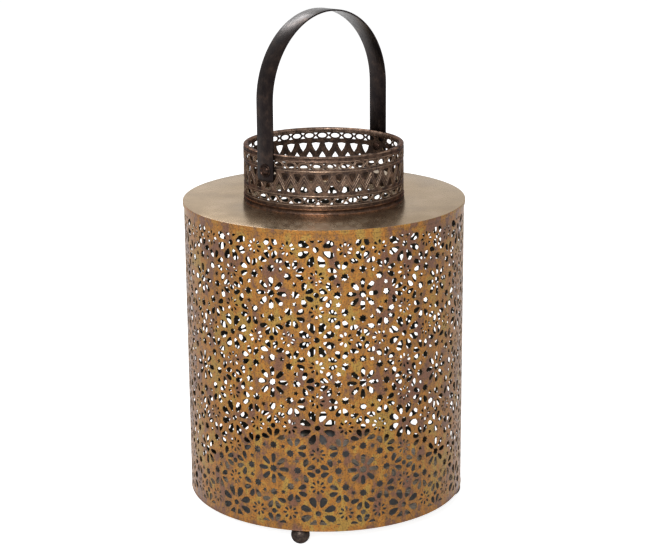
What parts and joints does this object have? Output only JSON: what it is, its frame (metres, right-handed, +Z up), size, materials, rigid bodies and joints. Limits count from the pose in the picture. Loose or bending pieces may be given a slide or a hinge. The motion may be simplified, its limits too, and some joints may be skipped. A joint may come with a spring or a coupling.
{
  "type": "punched tin lantern",
  "caption": "Round punched tin candle lantern with an openwork collar, ball feet and a riveted strap handle that folds down.",
  "frame": {"origin": "centre of the base on the surface the lantern stands on, on the body's axis", "axes": "+Z up along the body's axis; the handle's pivot runs along X"},
  "size_m": [0.2016, 0.2016, 0.3606],
  "materials": {
    "antique_gold_sheet": "satin",
    "antique_copper_sheet": "satin",
    "dark_iron": "satin",
    "aged_metal": "satin"
  },
  "bodies": {
    "lantern": {"body_shell": "antique_gold_sheet", "floor_plate": "antique_gold_sheet", "ball_feet": "aged_metal", "shoulder_plate": "antique_gold_sheet", "collar_base_ring": "antique_copper_sheet", "collar_band": "antique_copper_sheet", "collar_rim": "antique_copper_sheet", "rivets": "dark_iron"},
    "handle": {"handle_strap": "dark_iron"}
  },
  "joints": [
    {"name": "handle_swing", "type": "hinge", "parent": "lantern", "child": "handle", "pos_m": [0, 0, 0.25505], "axis": [1, 0, 0], "range_deg": [-101, 101]}
  ]
}
